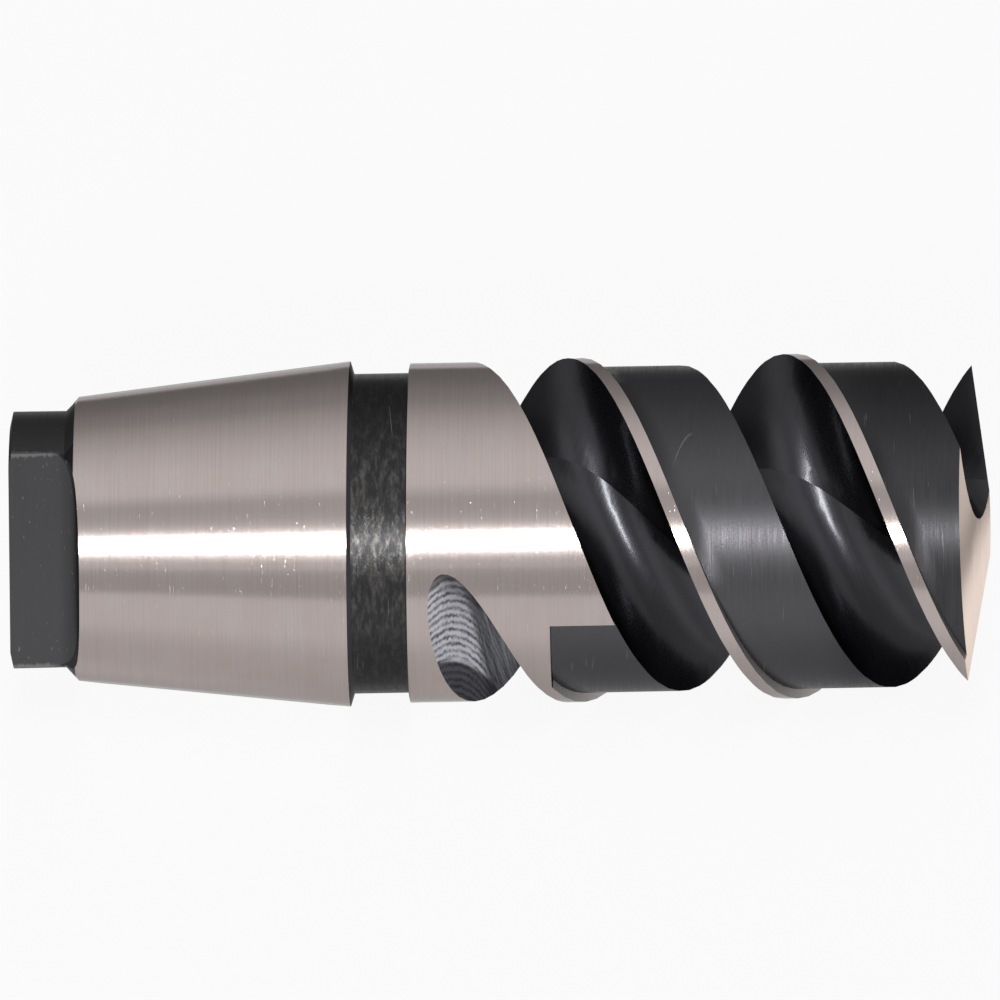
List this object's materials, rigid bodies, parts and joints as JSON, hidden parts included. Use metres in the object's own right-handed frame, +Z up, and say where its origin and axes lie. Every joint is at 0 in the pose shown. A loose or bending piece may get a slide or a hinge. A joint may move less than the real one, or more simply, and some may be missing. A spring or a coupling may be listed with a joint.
{
  "type": "taper shank twist drill bit",
  "caption": "Twist drill bit with a Morse taper shank and tang, a turned neck, two right-hand helical flutes with ground margins and a 118 degree point.",
  "frame": {"origin": "on the drill's axis in the gauge plane of the Morse taper, 75 mm from the end of the tang, where a spindle locates it", "axes": "+X along the drill's axis towards its point, +Z up, the flute run-out and the tang's flat face the -Y side"},
  "size_m": [0.228, 0.018, 0.018],
  "materials": {
    "drill_steel": "ground steel shank and body, black oxide flutes, lands, neck and tang"
  },
  "bodies": {
    "root": {"drill_bit": "drill_steel"}
  },
  "joints": []
}
